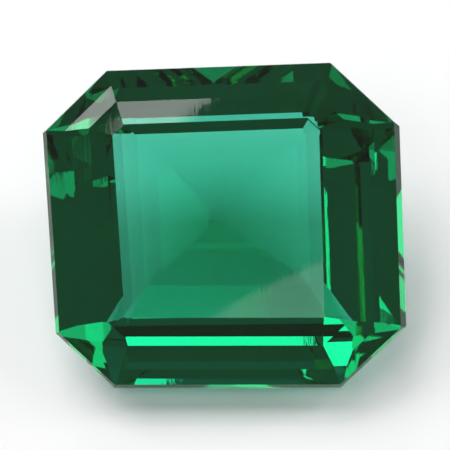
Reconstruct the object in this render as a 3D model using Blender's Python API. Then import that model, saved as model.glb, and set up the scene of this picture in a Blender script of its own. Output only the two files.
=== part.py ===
"""A loose emerald, cut as an eight-sided step cut and lying on one facet of its pavilion.

The stone is one solid. It is cut the way a cutter works: from a block, one flat facet at a time,
in rings of eight facets from the girdle up to the table and from the girdle down to the culet.
"""
import math
from collections import namedtuple

import bmesh
import bpy
from mathutils import Matrix, Vector

MM = 0.001

# Heights of the crown's rings of facets, from the girdle up to the table
CROWN_RINGS = (0.20 * MM, 0.28 * MM, 0.30 * MM, 0.23 * MM)
GIRDLE = 0.20 * MM

# The culet is the point where the last pavilion ring closes. Its place is measured from the
# stone's axis and from the girdle's upper edge.
CULET = Vector((-0.20 * MM, 0.50 * MM, -3.30 * MM))

# One side of the outline: the heading that it faces in degrees, its distance from the axis at the
# girdle, and how far in each crown ring steps (in mm). For each pavilion ring but the last, the
# distance from the axis at which it ends and the angle that its facet makes with the girdle.
Side = namedtuple("Side", "name heading reach crown pavilion")
SIDES = (
    Side("right", -0.5, 4.65, (0.15, 0.55, 0.80, 0.65), ((3.60, 46), (2.20, 37), (1.95, 33))),
    Side("top_right", 44.5, 5.10, (0.05, 0.45, 0.50, 0.65), ((4.20, 56), (3.70, 48), (3.30, 42))),
    Side("top", 90.0, 4.30, (0.05, 0.45, 0.50, 0.65), ((3.50, 58), (2.75, 48), (2.10, 28))),
    Side("top_left", 133.0, 5.20, (0.05, 0.40, 0.45, 0.60), ((4.20, 56), (3.70, 48), (3.30, 42))),
    Side("left", 182.0, 4.65, (0.10, 0.50, 0.65, 0.60), ((3.60, 46), (2.60, 38), (2.20, 35))),
    Side("bottom_left", 225.0, 5.10, (0.05, 0.45, 0.45, 0.50), ((4.20, 52), (3.70, 46), (3.30, 42))),
    Side("bottom", 268.0, 4.25, (0.05, 0.45, 0.50, 0.70), ((3.40, 44), (2.50, 38), (1.40, 30))),
    Side("bottom_right", 311.0, 5.15, (0.05, 0.45, 0.55, 0.50), ((4.20, 52), (3.70, 46), (3.30, 42))),
)
RESTING_SIDE = "bottom"

# The block that the facets are cut from reaches past the outline on every side
BLOCK = 16 * MM


def outward(side):
    """Level unit vector in the direction that a side faces."""
    heading = math.radians(side.heading)
    return Vector((math.cos(heading), math.sin(heading), 0))


def crown_lines(side):
    """Level edges of a side's crown facets from the girdle up, as (distance from axis, height)."""
    distance, height = side.reach * MM, 0.0
    lines = [(distance, height)]
    for step, ring in zip(side.crown, CROWN_RINGS):
        distance -= step * MM
        height += ring
        lines.append((distance, height))
    return lines


def pavilion_lines(side):
    """Level edges of a side's pavilion facets from the girdle down; the last is the culet."""
    distance, height = side.reach * MM, -GIRDLE
    lines = [(distance, height)]
    for end, angle in side.pavilion:
        height -= (distance - end * MM) * math.tan(math.radians(angle))
        distance = end * MM
        lines.append((distance, height))
    lines.append((CULET.dot(outward(side)), CULET.z))
    return lines


def facet_plane(side, outer, inner):
    """Plane through two level lines of one side, each given as (distance from axis, height)."""
    point = outward(side) * outer[0] + Vector((0, 0, outer[1]))
    step_in = outer[0] - inner[0]
    rise = inner[1] - outer[1]
    normal = outward(side) * abs(rise) + Vector((0, 0, math.copysign(step_in, rise)))
    return point, normal.normalized()


def cut_facet(stone, point, normal):
    """Cut away everything in front of a plane and close the stone with one flat facet."""
    parts = stone.verts[:] + stone.edges[:] + stone.faces[:]
    cut = bmesh.ops.bisect_plane(
        stone, geom=parts, dist=1e-8, plane_co=point, plane_no=normal, clear_outer=True
    )
    rim = [part for part in cut["geom_cut"] if isinstance(part, bmesh.types.BMEdge)]
    bmesh.ops.contextual_create(stone, geom=rim)


def cut_stone():
    """Cut the table, the girdle and every ring of facets from one block."""
    stone = bmesh.new()
    bmesh.ops.create_cube(stone, size=BLOCK)
    cut_facet(stone, Vector((0, 0, sum(CROWN_RINGS))), Vector((0, 0, 1)))
    for side in SIDES:
        cut_facet(stone, outward(side) * side.reach * MM, outward(side))
        for lines in (crown_lines(side), pavilion_lines(side)):
            for outer, inner in zip(lines, lines[1:]):
                cut_facet(stone, *facet_plane(side, outer, inner))
    return stone


def lay_on_facet(stone):
    """Turn the stone so that the resting side's last pavilion facet lies flat on the ground."""
    side = next(side for side in SIDES if side.name == RESTING_SIDE)
    lines = pavilion_lines(side)
    _, down = facet_plane(side, lines[-2], lines[-1])
    turn = down.rotation_difference(Vector((0, 0, -1))).to_matrix().to_4x4()
    stone.transform(turn)
    low = Vector([min(vertex.co[axis] for vertex in stone.verts) for axis in range(3)])
    high = Vector([max(vertex.co[axis] for vertex in stone.verts) for axis in range(3)])
    middle = (low + high) / 2
    stone.transform(Matrix.Translation((-middle.x, -middle.y, -low.z)))


def emerald_material():
    """Deep green, clear and glassy."""
    material = bpy.data.materials.new("emerald")
    material.use_nodes = True
    shader = material.node_tree.nodes["Principled BSDF"]
    shader.inputs["Base Color"].default_value = (0.01, 0.42, 0.18, 1)
    shader.inputs["Roughness"].default_value = 0.02
    shader.inputs["Metallic"].default_value = 0.0
    shader.inputs["IOR"].default_value = 1.58
    shader.inputs["Transmission Weight"].default_value = 1.0
    return material


for thing in list(bpy.data.objects):
    bpy.data.objects.remove(thing)

parts = bpy.data.collections.new("cut_emerald")
bpy.context.scene.collection.children.link(parts)

stone = cut_stone()
lay_on_facet(stone)
mesh = bpy.data.meshes.new("emerald")
stone.to_mesh(mesh)
stone.free()
mesh.materials.append(emerald_material())
parts.objects.link(bpy.data.objects.new("emerald", mesh))
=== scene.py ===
import math

import bmesh
import bpy
from mathutils import Matrix, Vector


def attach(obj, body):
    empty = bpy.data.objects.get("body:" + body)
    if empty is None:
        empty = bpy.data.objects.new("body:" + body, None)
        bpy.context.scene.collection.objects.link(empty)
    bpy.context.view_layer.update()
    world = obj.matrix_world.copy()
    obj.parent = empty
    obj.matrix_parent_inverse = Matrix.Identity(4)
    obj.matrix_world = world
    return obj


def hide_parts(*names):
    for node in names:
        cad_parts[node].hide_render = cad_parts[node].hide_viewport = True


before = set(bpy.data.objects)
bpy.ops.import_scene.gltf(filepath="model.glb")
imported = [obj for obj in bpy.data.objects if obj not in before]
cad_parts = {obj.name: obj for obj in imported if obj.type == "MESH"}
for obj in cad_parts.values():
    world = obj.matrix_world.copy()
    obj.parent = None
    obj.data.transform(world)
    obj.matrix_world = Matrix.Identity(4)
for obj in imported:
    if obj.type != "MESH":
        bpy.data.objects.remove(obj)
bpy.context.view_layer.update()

MM = 0.001


# The emerald
# One cut crystal of beryl, sawn from rough and then faceted and polished on a flat lap. Its facets
# are flat, and the lap leaves fine lines on them and places that are a little less well polished.
SAME_POINT = 0.0005 * MM
SAME_FACET = 0.2
POLISH_LINE = 0.06 * MM
POLISH_LENGTH = 0.9 * MM
POLISH_DEPTH = 0.0002 * MM
WORN_PATCH = 1.2 * MM


def cut_crystal(node):
    """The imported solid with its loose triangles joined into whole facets, each shaded flat."""
    crystal = bmesh.new()
    crystal.from_mesh(node.data)
    bmesh.ops.remove_doubles(crystal, verts=crystal.verts[:], dist=SAME_POINT)
    bmesh.ops.dissolve_limit(
        crystal, angle_limit=math.radians(SAME_FACET), verts=crystal.verts[:], edges=crystal.edges[:]
    )
    mesh = bpy.data.meshes.new("emerald_crystal")
    crystal.to_mesh(mesh)
    crystal.free()
    mesh.shade_flat()
    return bpy.data.objects.new("emerald_crystal", mesh)


def emerald_glass():
    """Clear green beryl: its colour is absorbed along the light's way through the crystal.

    Stretched noise gives the lap's fine lines as bump, and broad noise varies the polish.
    """
    material = bpy.data.materials.new("emerald")
    material.use_nodes = True
    nodes, links = material.node_tree.nodes, material.node_tree.links
    shader = nodes["Principled BSDF"]
    shader.inputs["Base Color"].default_value = (0.97, 1.0, 0.98, 1)
    shader.inputs["Metallic"].default_value = 0.0
    shader.inputs["IOR"].default_value = 1.58
    shader.inputs["Transmission Weight"].default_value = 1.0

    place = nodes.new("ShaderNodeTexCoord")
    stretch = nodes.new("ShaderNodeMapping")
    stretch.inputs["Scale"].default_value = (1 / POLISH_LINE, 1 / POLISH_LENGTH, 1 / POLISH_LENGTH)
    links.new(place.outputs["Object"], stretch.inputs["Vector"])
    lines = nodes.new("ShaderNodeTexNoise")
    lines.inputs["Scale"].default_value = 1.0
    lines.inputs["Detail"].default_value = 2.0
    links.new(stretch.outputs["Vector"], lines.inputs["Vector"])
    bump = nodes.new("ShaderNodeBump")
    bump.inputs["Distance"].default_value = POLISH_DEPTH
    links.new(lines.outputs["Fac"], bump.inputs["Height"])
    links.new(bump.outputs["Normal"], shader.inputs["Normal"])

    patches = nodes.new("ShaderNodeTexNoise")
    patches.inputs["Scale"].default_value = 1 / WORN_PATCH
    patches.inputs["Detail"].default_value = 4.0
    links.new(place.outputs["Object"], patches.inputs["Vector"])
    polish = nodes.new("ShaderNodeMapRange")
    polish.inputs["From Min"].default_value = 0.45
    polish.inputs["From Max"].default_value = 0.75
    polish.inputs["To Min"].default_value = 0.0
    polish.inputs["To Max"].default_value = 0.05
    links.new(patches.outputs["Fac"], polish.inputs["Value"])
    links.new(polish.outputs["Result"], shader.inputs["Roughness"])

    depth = nodes.new("ShaderNodeVolumeAbsorption")
    depth.inputs["Color"].default_value = (0.27, 0.87, 0.77, 1)
    depth.inputs["Density"].default_value = 1050.0
    links.new(depth.outputs["Volume"], nodes["Material Output"].inputs["Volume"])
    return material


crystal = cut_crystal(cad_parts["emerald"])
bpy.context.scene.collection.objects.link(crystal)
crystal.data.materials.clear()
crystal.data.materials.append(emerald_glass())
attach(crystal, "root")
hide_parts("emerald")


# The ground
# Plain white paper, far wider than the stone, a hair's breadth of air below the resting facet.
GROUND_RADIUS = 400 * MM
AIR_GAP = 0.01 * MM

ground_shape = bmesh.new()
bmesh.ops.create_circle(ground_shape, cap_ends=True, segments=96, radius=GROUND_RADIUS)
bmesh.ops.translate(ground_shape, verts=ground_shape.verts[:], vec=(0, 0, -AIR_GAP))
ground_mesh = bpy.data.meshes.new("ground")
ground_shape.to_mesh(ground_mesh)
ground_shape.free()
paper = bpy.data.materials.new("paper")
paper.use_nodes = True
paper.node_tree.nodes["Principled BSDF"].inputs["Base Color"].default_value = (0.9, 0.9, 0.9, 1)
paper.node_tree.nodes["Principled BSDF"].inputs["Roughness"].default_value = 0.9
ground_mesh.materials.append(paper)
ground = bpy.data.objects.new("ground", ground_mesh)
bpy.context.scene.collection.objects.link(ground)


# The camera
# It stands in front of the stone and looks down on it through a long lens, 9 degrees off square
# to the table.
CAMERA_AZIMUTH = -91.5
CAMERA_ELEVATION = 54.6
CAMERA_ROLL = -0.5
CAMERA_DISTANCE = 110 * MM
AIM = Vector((0.02 * MM, 0.05 * MM, 2.75 * MM))
FRAME_WIDTH_AT_STONE = 11.84 * MM


def direction(azimuth, elevation):
    """Unit vector from the stone towards a heading and a height above the horizon, in degrees."""
    azimuth, elevation = math.radians(azimuth), math.radians(elevation)
    level = math.cos(elevation)
    return Vector((math.cos(azimuth) * level, math.sin(azimuth) * level, math.sin(elevation)))


camera_data = bpy.data.cameras.new("camera")
camera_data.lens = camera_data.sensor_width * CAMERA_DISTANCE / FRAME_WIDTH_AT_STONE
camera_data.clip_start = 10 * MM
camera = bpy.data.objects.new("camera", camera_data)
bpy.context.scene.collection.objects.link(camera)
back = direction(CAMERA_AZIMUTH, CAMERA_ELEVATION)
level_turn = back.to_track_quat("Z", "Y").to_matrix()
camera_turn = (level_turn @ Matrix.Rotation(math.radians(CAMERA_ROLL), 3, "Z")).to_4x4()
camera.matrix_world = Matrix.Translation(AIM + back * CAMERA_DISTANCE) @ camera_turn
bpy.context.scene.camera = camera


# The light
# Round soft boxes stand all round the stone at one distance, most of them behind it and to its
# left, over a dim room. Each has its heading, its height above the horizon and its brightness.
SOFT_BOX_DISTANCE = 300 * MM
SOFT_BOX_WIDTH = 130 * MM
SOFT_BOXES = {
    "back_left": (135, 45, 3.9),
    "left": (165, 46, 3.2),
    "back": (105, 56, 3.6),
    "back_low": (100, 25, 2.1),
    "right": (15, 44, 3.0),
    "right_low": (15, 19, 3.6),
    "front_left": (-135, 56, 3.3),
    "high_left": (155, 69, 2.9),
    "top": (90, 84, 1.8),
    "front_high": (-80, 60, 1.1),
}
ROOM_BRIGHTNESS = 0.2

for name, (heading, height, brightness) in SOFT_BOXES.items():
    lamp_data = bpy.data.lights.new(name, "AREA")
    lamp_data.shape = "DISK"
    lamp_data.size = SOFT_BOX_WIDTH
    lamp_data.energy = brightness * math.pi * math.pi * (SOFT_BOX_WIDTH / 2) ** 2
    lamp = bpy.data.objects.new(name, lamp_data)
    lamp.location = direction(heading, height) * SOFT_BOX_DISTANCE
    lamp.rotation_euler = direction(heading, height).to_track_quat("Z", "Y").to_euler()
    bpy.context.scene.collection.objects.link(lamp)

room = bpy.data.worlds.new("room")
room.use_nodes = True
room.node_tree.nodes["Background"].inputs["Color"].default_value = (1, 1, 1, 1)
room.node_tree.nodes["Background"].inputs["Strength"].default_value = ROOM_BRIGHTNESS
bpy.context.scene.world = room

scene = bpy.context.scene
scene.cycles.max_bounces = 24
scene.cycles.transmission_bounces = 24
scene.cycles.glossy_bounces = 24
scene.cycles.caustics_refractive = True
scene.cycles.caustics_reflective = True
scene.cycles.use_denoising = True
scene.view_settings.view_transform = "Standard"
